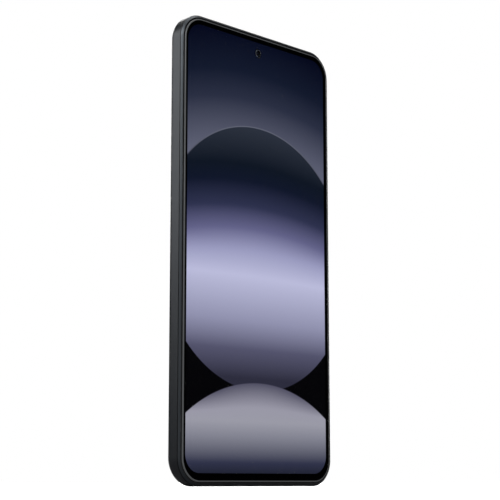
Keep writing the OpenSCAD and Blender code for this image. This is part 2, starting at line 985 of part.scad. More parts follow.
upright() haptic_case();
upright() haptic_mass();
upright() haptic_springs();
upright() screws();
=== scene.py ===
"""Looks for an upright smartphone: screen towards -Y, bottom edge on z = 0, keys on +X."""

import math

import bmesh
import bpy
import numpy as np
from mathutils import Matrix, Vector


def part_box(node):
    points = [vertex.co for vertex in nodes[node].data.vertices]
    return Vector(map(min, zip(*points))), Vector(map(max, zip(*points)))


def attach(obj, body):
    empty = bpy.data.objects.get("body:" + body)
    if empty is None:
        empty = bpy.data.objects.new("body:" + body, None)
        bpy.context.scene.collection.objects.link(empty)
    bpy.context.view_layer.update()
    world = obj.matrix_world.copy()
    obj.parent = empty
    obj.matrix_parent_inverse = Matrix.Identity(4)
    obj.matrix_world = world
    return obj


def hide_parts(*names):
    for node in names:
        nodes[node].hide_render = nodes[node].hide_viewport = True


MM = 0.001
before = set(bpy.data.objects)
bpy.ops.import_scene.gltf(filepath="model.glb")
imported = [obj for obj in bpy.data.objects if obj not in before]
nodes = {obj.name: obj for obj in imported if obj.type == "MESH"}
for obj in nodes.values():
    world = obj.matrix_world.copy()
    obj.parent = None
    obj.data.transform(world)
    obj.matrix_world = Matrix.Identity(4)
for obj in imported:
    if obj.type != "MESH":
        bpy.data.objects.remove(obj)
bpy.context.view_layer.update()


# ---------------------------------------------------------------- side frame
# The band round the phone: one die-cast and machined aluminium ring with flat sides and a narrow front
# chamfer. It is blasted and anodised graphite. The holes for keys, tray, socket and sound are milled in it.


def rounded(points, radii, steps=4):
    """Section with rounded corners: p(t) = (1-t)^2 a + 2t(1-t) c + t^2 b for each corner c, where a and b
    lie one radius from c along its two sides."""
    c = np.asarray(points, float)
    r = np.asarray(radii, float)[:, None]
    back = np.roll(c, 1, 0) - c
    ahead = np.roll(c, -1, 0) - c
    a = c + r * back / np.linalg.norm(back, axis=1, keepdims=True)
    b = c + r * ahead / np.linalg.norm(ahead, axis=1, keepdims=True)
    t = np.linspace(0, 1, steps + 1)[None, :, None]
    arcs = (1 - t) ** 2 * a[:, None] + 2 * t * (1 - t) * c[:, None] + t**2 * b[:, None]
    return arcs.reshape(-1, 2)


def ring_path(half_u, half_v, radius, arc_steps=16, run_steps=6):
    """Feet and normals round a rectangle with round corners: n = (cos a, sin a) in each quarter, and the foot
    is (+-(half_u - radius), +-(half_v - radius)), so foot + radius n is the outline."""
    a = np.linspace(0, np.pi / 2, arc_steps + 1)[None] + np.pi / 2 * np.arange(4)[:, None]
    normal = np.stack([np.cos(a), np.sin(a)], -1)
    signs = np.array([[1, 1], [-1, 1], [-1, -1], [1, -1]])
    foot = np.broadcast_to((signs * [half_u - radius, half_v - radius])[:, None], normal.shape)
    t = np.linspace(0, 1, run_steps + 2)[1:-1][None, :, None]
    run_foot = foot[:, -1:] * (1 - t) + np.roll(foot, -1, 0)[:, :1] * t
    run_normal = np.broadcast_to(normal[:, -1:], run_foot.shape)
    return (
        np.concatenate([foot, run_foot], 1).reshape(-1, 2),
        np.concatenate([normal, run_normal], 1).reshape(-1, 2),
    )


FACING_Y = [0, 2, 1]  # path in x and z, depth along y
FACING_X = [2, 1, 0]  # path in z and y, depth along x
FACING_Z = [0, 1, 2]  # path in x and y, depth along z


def carried(section, path, centre, order=FACING_Y):
    """Grid p[i, j] = centre + foot[j] + reach[i] normal[j], at depth[i] across the path's plane, in metres
    from a section of (reach, depth) rows in millimetres."""
    foot, normal = path
    section = np.asarray(section, float)
    flat = np.asarray(centre, float) + foot[None] + section[:, 0, None, None] * normal[None]
    depth = np.broadcast_to(section[:, 1, None, None], flat.shape[:2] + (1,))
    return np.concatenate([flat, depth], -1)[..., order] * MM


def solid(name, grid, ring=False):
    """Closed mesh over a grid whose columns run round a path: quads (i, j) to (i+1, j+1), with a flat cap on
    each end row, or with the last row joined to the first for a ring."""
    rows, cols = grid.shape[:2]
    i = np.arange(rows if ring else rows - 1)[:, None] * cols
    j = np.arange(cols)[None]
    up = (i + cols) % (rows * cols)
    right = (j + 1) % cols
    faces = np.stack([i + j, i + right, up + right, up + j], -1).reshape(-1, 4).tolist()
    if not ring:
        faces += [np.arange(cols).tolist(), ((rows - 1) * cols + np.arange(cols)).tolist()]
    mesh = bpy.data.meshes.new(name)
    mesh.from_pydata(grid.reshape(-1, 3).tolist(), [], faces)
    bm = bmesh.new()
    bm.from_mesh(mesh)
    bmesh.ops.remove_doubles(bm, verts=bm.verts, dist=2e-7)
    bmesh.ops.recalc_face_normals(bm, faces=bm.faces)
    bm.to_mesh(mesh)
    bm.free()
    piece = bpy.data.objects.new(name, mesh)
    bpy.context.scene.collection.objects.link(piece)
    return piece


def joined(name, parts):
    """One object from several, whose meshes are laid side by side in the order given."""
    bm = bmesh.new()
    for part in parts:
        bm.from_mesh(part.data)
        mesh = part.data
        bpy.data.objects.remove(part)
        bpy.data.meshes.remove(mesh)
    mesh = bpy.data.meshes.new(name)
    bm.to_mesh(mesh)
    bm.free()
    piece = bpy.data.objects.new(name, mesh)
    bpy.context.scene.collection.objects.link(piece)
    return piece


def cut(piece, cutters):
    """Takes each cutter's volume out of the piece, then deletes the cutters."""
    for cutter in cutters:
        step = piece.modifiers.new("cut", "BOOLEAN")
        step.operation = "DIFFERENCE"
        step.solver = "EXACT"
        step.object = cutter
    bpy.context.view_layer.update()
    graph = bpy.context.evaluated_depsgraph_get()
    mesh = bpy.data.meshes.new_from_object(piece.evaluated_get(graph))
    piece.modifiers.clear()
    piece.data = mesh
    for cutter in cutters:
        bpy.data.objects.remove(cutter)


def shaded(piece, finish, angle=32):
    """Smooth shading up to an edge angle in degrees, and the piece's material."""
    piece.data.polygons.foreach_set("use_smooth", np.ones(len(piece.data.polygons), bool))
    piece.data.set_sharp_from_angle(angle=math.radians(angle))
    piece.data.materials.clear()
    piece.data.materials.append(finish)


def opening(half_u, half_v, radius, centre, order, mouth, deep, lip=0.15, arc_steps=8):
    """Cutter for a milled hole: straight from depth `deep` to the lip, then widening by the lip out to the
    mouth and past it."""
    out = 1 if mouth > deep else -1
    section = [(radius, deep), (radius, mouth - out * lip)]
    section += [(radius + lip, mouth), (radius + lip, mouth + out)]
    path = ring_path(half_u, half_v, radius, arc_steps, 0)
    return solid("cutter", carried(section, path, centre, order))


def tone(code):
    """Linear colour of a display colour code: c / 12.92 up to 0.04045, then ((c + 0.055) / 1.055)^2.4."""
    c = np.array([int(code[k : k + 2], 16) for k in (0, 2, 4)]) / 255
    linear = np.where(c <= 0.04045, c / 12.92, ((c + 0.055) / 1.055) ** 2.4)
    return (*linear.tolist(), 1.0)


class Nodes:
    """A material's node tree, with its shader and its object coordinates."""

    def __init__(self, name):
        self.material = bpy.data.materials.new(name)
        self.material.use_nodes = True
        self.tree = self.material.node_tree
        self.shader = self.tree.nodes["Principled BSDF"]
        self.place = self.add("ShaderNodeTexCoord").outputs["Object"]

    def add(self, kind, **settings):
        node = self.tree.nodes.new(kind)
        for key, value in settings.items():
            setattr(node, key, value)
        return node

    def link(self, a, b):
        self.tree.links.new(a, b)

    def set(self, **sockets):
        for key, value in sockets.items():
            self.shader.inputs[key.replace("_", " ")].default_value = value

    def noise(self, scale, detail=3.0, stretch=None):
        """Noise of the object coordinates, scale in features per metre, stretched along an axis if asked."""
        place = self.place
        if stretch:
            mapping = self.add("ShaderNodeMapping")
            mapping.inputs["Scale"].default_value = stretch
            self.link(place, mapping.inputs["Vector"])
            place = mapping.outputs["Vector"]
        node = self.add("ShaderNodeTexNoise")
        node.inputs["Scale"].default_value = scale
        node.inputs["Detail"].default_value = detail
        self.link(place, node.inputs["Vector"])
        return node.outputs["Fac"]

    def math(self, operation, a, b=None):
        """One Math node on sockets or numbers."""
        node = self.add("ShaderNodeMath", operation=operation)
        for socket, value in zip(node.inputs, (a, b)):
            if value is None:
                continue
            if isinstance(value, (int, float)):
                socket.default_value = value
            else:
                self.link(value, socket)
        return node.outputs[0]

    def span(self, value, low, high, to_low=0.0, to_high=1.0):
        """Linear map of a value from low..high to to_low..to_high, clamped."""
        node = self.add("ShaderNodeMapRange")
        self.link(value, node.inputs["Value"])
        for key, number in zip(("From Min", "From Max", "To Min", "To Max"), (low, high, to_low, to_high)):
            node.inputs[key].default_value = number
        return node.outputs["Result"]

    def mix(self, factor, a, b):
        """Colour (1 - factor) a + factor b."""
        node = self.add("ShaderNodeMix", data_type="RGBA")
        self.link(factor, node.inputs["Factor"])
        for socket, value in ((node.inputs[6], a), (node.inputs[7], b)):
            if isinstance(value, tuple):
                socket.default_value = value
            else:
                self.link(value, socket)
        return node.outputs[2]

    def ramp(self, value, stops):
        """Colour ramp with stops of (position, linear colour)."""
        node = self.add("ShaderNodeValToRGB")
        elements = node.color_ramp.elements
        while len(elements) < len(stops):
            elements.new(0.5)
        for element, (position, colour) in zip(elements, sorted(stops)):
            element.position = position
            element.color = colour
        self.link(value, node.inputs["Fac"])
        return node.outputs["Color"]

    def bump(self, height, distance, strength=1.0):
        """Surface relief from a height between 0 and 1, over a distance in millimetres."""
        node = self.add("ShaderNodeBump")
        node.inputs["Strength"].default_value = strength
        node.inputs["Distance"].default_value = distance * MM
        self.link(height, node.inputs["Height"])
        self.link(node.outputs["Normal"], self.shader.inputs["Normal"])


UNEVEN = 0.05


def grained(
    name, code, roughness, metallic=0.0, grain=4000, relief=0.01, patch=70, spread=0.14, stretch=None
):
    """Opaque finish: colour c (1 +- spread) in soft patches, roughness +- UNEVEN, and a fine grain relief."""
    n = Nodes(name)
    base = np.array(tone(code)[:3])
    patches = n.noise(patch, 4.0)
    low = (*(base * (1 - spread)).tolist(), 1.0)
    high = (*(base * (1 + spread)).tolist(), 1.0)
    colour = n.mix(n.span(patches, 0.3, 0.7), low, high)
    n.link(colour, n.shader.inputs["Base Color"])
    fine = n.noise(grain, 2.0, stretch=stretch)
    n.link(n.span(fine, 0.2, 0.8, roughness - UNEVEN, roughness + UNEVEN), n.shader.inputs["Roughness"])
    n.bump(fine, relief)
    n.set(Metallic=metallic)
    return n


CORNER_R = 9.5
WALL = 1.9
frame_low, frame_high = (np.array(p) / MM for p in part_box("side_frame"))
half_w = frame_high[0]
height = frame_high[2]
mid_z = height / 2
land_y = frame_low[1]
seam_y = frame_high[1]
front_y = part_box("display_glass")[0][1] / MM
back_y = -front_y

# The curved back edge: an arc of radius EDGE_R that takes EDGE_W of width over EDGE_H of depth.
EDGE_W = 4.5
EDGE_H = 3.2
EDGE_R = (EDGE_W**2 + EDGE_H**2) / (2 * EDGE_H)


def edge_in(depth, set_in=0.0):
    """Distance in from the side at a depth from the flat back: w - sqrt((R - s)^2 - (R - depth)^2)."""
    return EDGE_W - np.sqrt((EDGE_R - set_in) ** 2 - (EDGE_R - depth) ** 2)


# The front of the section: chamfer, flat land round the glass, ledge that the glass is glued on, and the
# shelf for the middle plate.
CHAMFER = 0.9
CHAMFER_DROP = 0.7
GLASS_IN = 1.5
GLASS_GAP = 0.08
LEDGE_DROP = 0.65
LEDGE_IN = 2.45
SHELF_IN = 3.4
SHELF_T = 0.5
PLATE_Y = -2.4
PLATE_T = 0.6
seam_depth = back_y - seam_y
arc_depth = np.linspace(seam_depth, EDGE_H - 0.15, 5)
arc = [(CORNER_R - edge_in(d), back_y - d) for d in arc_depth]
bend = [
    (CORNER_R, back_y - EDGE_H),
    (CORNER_R, land_y + CHAMFER_DROP),
    (CORNER_R - CHAMFER, land_y),
    (CORNER_R - GLASS_IN + GLASS_GAP, land_y),
    (CORNER_R - GLASS_IN + GLASS_GAP, land_y + LEDGE_DROP),
    (CORNER_R - LEDGE_IN, land_y + LEDGE_DROP),
    (CORNER_R - LEDGE_IN, PLATE_Y + PLATE_T),
    (CORNER_R - SHELF_IN, PLATE_Y + PLATE_T),
    (CORNER_R - SHELF_IN, PLATE_Y + PLATE_T + SHELF_T),
    (CORNER_R - WALL, PLATE_Y + PLATE_T + SHELF_T + 0.6),
    (CORNER_R - WALL, seam_y),
]
bend_r = [0.12, 0.16, 0.1, 0.05, 0, 0, 0, 0, 0, 0, 0]
frame_section = rounded(arc + bend, [0.06] + [0] * (len(arc) - 1) + bend_r, 5)
phone_path = ring_path(half_w, mid_z, CORNER_R, 24, 8)
side_frame = solid("side_frame", carried(frame_section, phone_path, (0, mid_z)), ring=True)


def middle(node):
    """Centre of a node's box, in millimetres."""
    low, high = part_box(node)
    return (np.array(low) + np.array(high)) / 2 / MM


def extent(node):
    """Size of a node's box, in millimetres."""
    low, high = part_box(node)
    return (np.array(high) - np.array(low)) / MM


# Keys, tray and end holes share one line. The inner flange of each key is FLANGE longer than the key, and
# a sliding piece has SLIDE_GAP round it.
KEY_Y = middle("power_button")[1]
KEY_H = 1.9
FLANGE = 1.6
SLIDE_GAP = 0.1
key_r = KEY_H / 2 + SLIDE_GAP
keys = {}
for key in ("power_button", "volume_rocker"):
    keys[key] = (middle(key)[2], extent(key)[2] - FLANGE)
key_openings = [
    opening(length / 2 + SLIDE_GAP, key_r, key_r, (z, KEY_Y), FACING_X, half_w, half_w - 1.2, 0.12)
    for z, length in keys.values()
]
TRAY_W = 15.0
TRAY_H = 2.3
tray_x = middle("sim_tray")[0]
tray_r = TRAY_H / 2 + SLIDE_GAP
tray_opening = opening(
    TRAY_W / 2 + SLIDE_GAP, tray_r, tray_r, (tray_x, KEY_Y), FACING_Z, height, height - 2.5, 0.1
)
PORT_HALF = 4.37
PORT_R = 1.48
port_y = middle("usb_port")[1]
socket_opening = opening(PORT_HALF, PORT_R, PORT_R, (0, port_y), FACING_Z, 0, 4.2, 0.3, 12)
SOUND_R = 0.55
SOUND_PITCH = 2.3
HOLE_DEEP = 4.0
mesh_x = middle("speaker_mesh")[0]
sound_holes = [
    opening(SOUND_R, SOUND_R, SOUND_R, (mesh_x + k * SOUND_PITCH, KEY_Y), FACING_Z, 0, HOLE_DEEP, 0.12)
    for k in np.arange(6) - 2.5
]
MIC_R = 0.45
mic_holes = [
    opening(MIC_R, MIC_R, MIC_R, (x, KEY_Y), FACING_Z, mouth, deep, 0.1)
    for x, mouth, deep in ((-11.0, 0, HOLE_DEEP), (8.0, height, height - HOLE_DEEP))
]
SLIT_HALF = 5.7
SLIT_R = 0.25
SLIT_DROP = 1.24
slit = opening(SLIT_HALF, SLIT_R, SLIT_R, (0, height - SLIT_DROP), FACING_Y, land_y, land_y + 1.0, 0.06)


def pocket(x0, x1, y0, y1, z0, z1):
    """Box-shaped cutter between two corners, in millimetres."""
    path = ring_path((x1 - x0) / 2, (y1 - y0) / 2, 0, 1, 0)
    centre = ((x0 + x1) / 2, (y0 + y1) / 2)
    return solid("cutter", carried([(0, z0), (0, z1)], path, centre, FACING_Z))


# Hollows behind the wall: for the key flanges, the tray's tail and the speaker mesh.
key_pockets = []
for z, length in keys.values():
    reach = length / 2 + FLANGE
    key_pockets.append(pocket(half_w - 3.6, half_w - 1.0, KEY_Y - 1.4, KEY_Y + 1.4, z - reach, z + reach))
eject_y = middle("eject_rod")[1]
tray_pocket = pocket(
    tray_x - 5.55, tray_x + 5.55, eject_y - 0.75, eject_y + 0.75, height - 4.6, height - 0.4
)
sound_pocket = pocket(mesh_x - 7.4, mesh_x + 7.4, KEY_Y - 0.65, KEY_Y + 0.9, 1.2, 3.6)
outer_cutters = key_openings + [tray_opening, socket_opening, slit] + sound_holes + mic_holes
cut(side_frame, [joined("outer", outer_cutters), joined("inner", key_pockets + [tray_pocket, sound_pocket])])

# Blasted graphite anodising: a fine sandy grain and slow changes of tone. The chamfer is cut afterwards,
# so it is a little lighter. A painted highlight runs along its inner edge, and a painted dark line along
# its outer edge stands for the shade there.
n = grained("frame_finish", "232528", 0.36, 0.8, grain=5200, relief=0.004, patch=45, spread=0.07)
separate = n.add("ShaderNodeSeparateXYZ")
n.link(n.place, separate.inputs[0])
depth = separate.outputs["Y"]
outer_edge = n.math("ABSOLUTE", n.math("SUBTRACT", depth, (land_y + CHAMFER_DROP) * MM))
inner_edge = n.math("ABSOLUTE", n.math("SUBTRACT", depth, land_y * MM))
# Painted highlight: a pale band along the chamfer's inner edge, where it catches the light.
near_edge = n.span(inner_edge, 0.04 * MM, 0.14 * MM, 1.0, 0.0)
painted_highlight = n.math("MULTIPLY", near_edge, n.span(n.noise(260, 5.0), 0.56, 0.72))
old = n.shader.inputs["Base Color"].links[0].from_socket
CUT_END = land_y + CHAMFER_DROP - 0.04
cut_face = n.span(depth, (CUT_END - 0.06) * MM, CUT_END * MM, 1.0, 0.0)
cut_face = n.math("MULTIPLY", cut_face, n.span(n.noise(60, 4.0), 0.3, 0.7, 0.8, 1.0))
# The colour takes the lighter cut chamfer and the painted highlight.
colour_with_painted_edges = n.mix(painted_highlight, n.mix(cut_face, old, tone("34383c")), tone("5c5f62"))
# Painted shade: a near-black line along the edge between the flat side and the chamfer.
painted_edge_shade = n.span(outer_edge, 0.09 * MM, 0.16 * MM, 1.0, 0.0)
colour_with_painted_edges = n.mix(painted_edge_shade, colour_with_painted_edges, tone("0b0c0e"))
# The land round the glass is painted black: painted shade that stands for the dark gap between frame and
# glass.
land = n.span(depth, (land_y + 0.02) * MM, (land_y + 0.06) * MM, 1.0, 0.0)
n.link(n.mix(land, colour_with_painted_edges, tone("08080a")), n.shader.inputs["Base Color"])
n.link(n.math("SUBTRACT", 0.8, n.math("MULTIPLY", land, 0.8)), n.shader.inputs["Metallic"])
frame_finish = n.material
shaded(side_frame, frame_finish)
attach(side_frame, "phone")
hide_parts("side_frame")


# ---------------------------------------------------------------- front glass
# One flat sheet of strengthened glass with a ground round edge that is given a faint glow, a painted
# highlight, so that it shows as a thin paler line all round. Its underside carries a black ink border. It is
# glued on the frame's ledge.
GLASS_T = 0.65
GLASS_ROUND = 0.3
RIM_IN = 0.42
EDGE_TILT = 0.9
# A sheet's section stops CAP millimetres short of the corner's centre, and a flat cap closes it.
CAP = 2.0
glass_back = front_y + GLASS_T
glass_out = CORNER_R - GLASS_IN
section = rounded(
    [
        (CAP, glass_back), (glass_out, glass_back), (glass_out, front_y),
        (glass_out - RIM_IN, front_y), (CAP, front_y),
    ],
    [0, 0.04, GLASS_ROUND, 0, 0], 6,
)
clear = solid("display_glass", carried(section, phone_path, (0, mid_z)))
n = Nodes("front_glass")
n.set(Transmission_Weight=1.0, IOR=1.32, Base_Color=(1, 1, 1, 1))
n.link(n.span(n.noise(90, 4.0), 0.35, 0.75, 0.0, 0.02), n.shader.inputs["Roughness"])
shaded(clear, n.material, 50)
# Painted highlight: the edge glows faintly, so that it reads as a paler line.
edge = grained("glass_edge_painted_glow", "2e3032", 0.4, grain=6000, relief=0.002)
edge.set(Emission_Color=(0.95, 0.97, 1.0, 1.0), Emission_Strength=0.04)
clear.data.materials.append(edge.material)


def past_outline(places, half_u, half_v, radius):
    """Distance past a rectangle with round corners: |max(q, 0)| + min(max(q_u, q_v), 0) - radius, where q is
    |place| less the half sides without their corner radius."""
    q = np.abs(places) - [half_u - radius, half_v - radius]
    return np.linalg.norm(np.maximum(q, 0), axis=1) + np.minimum(q.max(1), 0) - radius


facing = np.empty(3 * len(clear.data.polygons), np.float32)
middles = np.empty_like(facing)
clear.data.polygons.foreach_get("normal", facing)
clear.data.polygons.foreach_get("center", middles)
# The rim is every face that leans away from the front, and the outermost RIM_IN of the front.
places = middles.reshape(-1, 3)[:, [0, 2]] / MM - [0, mid_z]
in_rim = past_outline(places, half_w, mid_z, CORNER_R) > -GLASS_IN - RIM_IN
in_rim |= np.abs(facing[1::3]) < EDGE_TILT
clear.data.polygons.foreach_set("material_index", in_rim.astype(np.int32))
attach(clear, "phone")
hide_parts("display_glass")

# The ink is a thin black frame under the glass, from its edge to the lit area.
INK_T = 0.02
INK_IN = 0.06
SCREEN_X = 34.75
SCREEN_LOW = 4.4
SCREEN_HIGH = 159.05
SCREEN_R = 6.4
ink_out = glass_out - INK_IN
lit_path = ring_path(SCREEN_X, (SCREEN_HIGH - SCREEN_LOW) / 2, SCREEN_R, 24, 8)
lit_mid = (SCREEN_HIGH + SCREEN_LOW) / 2
outer_ring = carried([(ink_out, glass_back), (ink_out, glass_back + INK_T)], phone_path, (0, mid_z))
inner_ring = carried([(SCREEN_R, glass_back + INK_T), (SCREEN_R, glass_back)], lit_path, (0, lit_mid))
ink = solid("screen_ink", np.concatenate([outer_ring, inner_ring]), ring=True)
n = grained("ink_finish", "020203", 0.5, grain=3000, relief=0.001)
n.set(Specular_IOR_Level=0.0)
shaded(ink, n.material)
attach(ink, "phone")


# ---------------------------------------------------------------- display panel
# The organic light-emitting panel under the glass, with a round hole for the front camera. The picture
# on it is plain: two large soft discs that shade from lilac grey to night blue.
PUNCH_R = 1.9
PUNCH_DROP = 7.2
panel_low, panel_high = (np.array(p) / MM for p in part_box("display_panel"))
panel_r = CORNER_R - (half_w - panel_high[0])
panel_y = panel_low[1] + INK_T
section = [(CAP, panel_high[1]), (panel_r, panel_high[1]), (panel_r, panel_y), (CAP, panel_y)]
panel = solid("display_panel", carried(section, phone_path, (0, mid_z)))
circle = ring_path(0, 0, 0, 16, 0)
section = [(PUNCH_R, panel_low[1] - 1), (PUNCH_R, panel_high[1] + 1)]
cut(panel, [solid("cutter", carried(section, circle, (0, height - PUNCH_DROP)))])

n = Nodes("lit_screen")
separate = n.add("ShaderNodeSeparateXYZ")
n.link(n.place, separate.inputs[0])
across = separate.outputs["X"]
up = separate.outputs["Z"]
bow = n.math("MULTIPLY", n.math("MULTIPLY", across, across), 1 / MM)


SOFT = 0.12


def reach_from(n, z):
    """Distance of a place from (0, z), across the screen."""
    offset = n.add("ShaderNodeCombineXYZ")
    n.link(across, offset.inputs["X"])
    n.link(n.math("SUBTRACT", up, z * MM), offset.inputs["Z"])
    length = n.add("ShaderNodeVectorMath", operation="LENGTH")
    n.link(offset.outputs[0], length.inputs[0])
    return length.outputs["Value"]


def disc(n, reach, radius):
    """1 inside a circle and 0 outside, falling from radius - SOFT to radius + SOFT."""
    return n.span(reach, (radius - SOFT) * MM, (radius + SOFT) * MM, 1.0, 0.0)


def by_height(n, value, stops):
    """Ramp over the phone's height, with stops of (millimetres, colour code)."""
    place = n.span(value, 0, height * MM)
    return n.ramp(place, [(z / height, tone(code)) for z, code in stops])


# Each shade follows the height, raised a little towards the sides by the bow x^2, so that it curves.
sky_height = n.math("ADD", up, n.math("MULTIPLY", bow, 0.004))
sky = by_height(n, sky_height, [
    (60, "020204"), (95, "020204"), (96, "6a6d80"), (117, "5e6174"), (137, "282d40"), (147, "11182b"),
    (162, "03061a"),
])
GREAT_Z = 80.0
GREAT_R = 47.3
great_reach = reach_from(n, GREAT_Z)
great = disc(n, great_reach, GREAT_R)
lag = n.math("MULTIPLY", n.math("MULTIPLY", bow, 0.003), n.span(up, 0.070, 0.085))
great_colour = by_height(n, n.math("ADD", up, lag), [
    (37, "2b2b3b"), (47, "515169"), (57, "8c8da9"), (73, "b6b7d5"), (82, "9697ba"), (90, "5f5f84"),
    (98, "2c304b"), (107, "0e1528"), (113, "0c1421"), (127, "2a303c"),
])
LOW_Z = -23.1
LOW_R = 58.6
low = disc(n, reach_from(n, LOW_Z), LOW_R)
low_lag = n.math("MULTIPLY", n.math("MULTIPLY", bow, 0.008), n.span(up, 0.022, 0.032))
low_colour = by_height(n, n.math("ADD", up, low_lag), [
    (4, "1d202e"), (8, "2e3147"), (17, "7f808d"), (22, "9696a2"), (27, "9594a2"), (35.5, "4c4b5e"),
])
# A thin pale line borders the upper part of the great disc.
LINE = 0.45
line = n.math("MULTIPLY", n.span(great_reach, (GREAT_R - LINE) * MM, (GREAT_R - LINE / 2) * MM), great)
line = n.math("MULTIPLY", line, n.span(up, 0.100, 0.122, 0.0, 0.8))
upper = n.mix(line, n.mix(great, sky, great_colour), tone("6a6d7e"))
picture = n.mix(low, upper, low_colour)
n.link(picture, n.shader.inputs["Emission Color"])
n.set(Emission_Strength=1.12, Base_Color=(0.001, 0.001, 0.001, 1.0), Specular_IOR_Level=0.0)
n.link(n.span(n.noise(9000, 2.0), 0.3, 0.7, 0.28, 0.34), n.shader.inputs["Roughness"])
shaded(panel, n.material)
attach(panel, "phone")
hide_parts("display_panel")


# ---------------------------------------------------------------- front camera
# A small camera behind the hole in the display: a black square housing, a turned barrel with a bright
# rim, and a domed lens with a blue coating.
HOUSING_T = 1.5
BARREL_BACK = -1.1
cam_low, cam_high = (np.array(p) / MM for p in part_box("front_camera"))
cam_z = middle("front_camera")[2]
tip = cam_low[1]
cam_back = cam_high[1]
section = rounded(
    [(0.4, cam_back), (2.6, cam_back), (2.6, cam_back - HOUSING_T), (0.4, cam_back - HOUSING_T)],
    [0, 0.15, 0.15, 0], 3,
)
housing = solid("housing", carried(section - [0.4, 0], ring_path(0.4, 0.4, 0, 2, 1), (0, cam_z)))
section = rounded(
    [
        (0.02, 0.0), (2.45, 0.0), (2.45, -1.3), (1.55, -1.6),
        (1.55, tip + 2.4), (1.2, tip + 2.4), (0.9, tip + 2.9), (0.02, tip + 2.9),
    ],
    [0, 0, 0.1, 0.1, 0.1, 0.04, 0.04, 0], 3,
)
barrel = solid("barrel", carried(section + [0, BARREL_BACK], circle, (0, cam_z)))
front_camera = joined("front_camera", [housing, barrel])
n = grained("camera_black", "08090a", 0.6, grain=5000, relief=0.003)
n.set(Specular_IOR_Level=0.25)
camera_black = n.material
shaded(front_camera, camera_black)
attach(front_camera, "phone")
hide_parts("front_camera")
rim_section = rounded(
    [(1.24, tip + 0.02), (1.4, tip + 0.02), (1.4, tip + 0.3), (1.24, tip + 0.3)], [0.05] * 4, 3
)
rim = solid("front_camera_rim", carried(rim_section, circle, (0, cam_z)), ring=True)
n = grained("rim_finish", "70737a", 0.45, 0.2, grain=8000, relief=0.002)
shaded(rim, n.material)
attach(rim, "phone")
# A lathed piece's section stops AXIS millimetres short of its axis.
AXIS = 0.01
a = np.linspace(0, np.pi / 2, 9)
dome = np.stack([1.15 * np.cos(a), tip + 0.75 - 0.5 * np.sin(a)], -1)
dome[-1, 0] = AXIS
lens_section = np.concatenate([[(AXIS, tip + 0.8)], dome])
lens = solid("front_camera_lens", carried(lens_section, circle, (0, cam_z)))


def coated(name, deep, shine):
    """Lens coating: a dark glass that turns from one deep tint to another with a slow noise."""
    n = Nodes(name)
    tint = n.mix(n.span(n.noise(160, 2.0), 0.35, 0.65), tone(deep), tone(shine))
    n.link(tint, n.shader.inputs["Base Color"])
    n.link(n.span(n.noise(700, 2.0), 0.3, 0.7, 0.03, 0.08), n.shader.inputs["Roughness"])
    n.set(Coat_Weight=1.0, Coat_Roughness=0.02, IOR=1.6)
    n.bump(n.noise(120, 1.0), 0.01, 0.15)
    return n.material


shaded(lens, coated("front_coating", "05070d", "0d1626"), 60)
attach(lens, "phone")


# ---------------------------------------------------------------- back cover
# A moulded glass sheet with a satin etched outside. Its edges curve round to meet the frame, and the
# upper corner has an opening for the camera island.
COVER_T = 0.9
rim_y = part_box("back_cover")[0][1] / MM
rim_depth = back_y - rim_y
depth = np.linspace(0, 1, 12) ** 1.6 * rim_depth
outside = np.stack([CORNER_R - edge_in(depth), back_y - depth], -1)
depth_in = COVER_T + np.linspace(0, 1, 9)[::-1] ** 1.6 * (rim_depth - COVER_T)
inside = np.stack([CORNER_R - edge_in(depth_in, COVER_T), back_y - depth_in], -1)
flat_r = CORNER_R - EDGE_W - 0.6
section = np.concatenate([
    [(1.0, back_y), (flat_r, back_y)], outside,
    inside, [(flat_r, back_y - COVER_T), (1.0, back_y - COVER_T)],
])
back_cover = solid("back_cover", carried(section, phone_path, (0, mid_z)))
ISLAND_FLANGE = 1.2
ISLAND_R = 8.0
FIT = 0.08
island = middle("camera_island")
island_w, _, island_h = extent("camera_island") - 2 * ISLAND_FLANGE
opening_path = ring_path(island_w / 2 + FIT, island_h / 2 + FIT, ISLAND_R + FIT, 16, 2)
section = [(ISLAND_R + FIT, back_y - 2), (ISLAND_R + FIT, back_y - 0.1)]
section += [(ISLAND_R + 0.2, back_y + 0.02), (ISLAND_R + 0.2, back_y + 1)]
cut(back_cover, [solid("cutter", carried(section, opening_path, (island[0], island[2])))])
n = grained("back_finish", "1c1f22", 0.42, 0.0, grain=7000, relief=0.0015, patch=18, spread=0.06)
flecks = n.noise(5200, 2.0)
glint = n.span(flecks, 0.62, 0.72)
old = n.shader.inputs["Base Color"].links[0].from_socket
n.link(n.mix(glint, old, tone("2b2f33")), n.shader.inputs["Base Color"])
n.set(Coat_Weight=0.12, Coat_Roughness=0.2, Specular_IOR_Level=0.3)
shaded(back_cover, n.material, 40)
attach(back_cover, "phone")
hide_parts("back_cover")


# ---------------------------------------------------------------- camera island and lens rings
# The raised plate round the rear cameras is machined aluminium with a satin face. A turned and polished
# ring stands in each camera's seat and holds a flat glass window.
RING_D = 13.0
SMALL_D = 8.0
ring_low, ring_high = (np.array(p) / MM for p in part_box("lens_rings"))
lens_x = ring_high[0] - RING_D / 2
small_x = ring_low[0] + SMALL_D / 2
main_z = ring_high[2] - RING_D / 2
wide_z = ring_low[2] + RING_D / 2
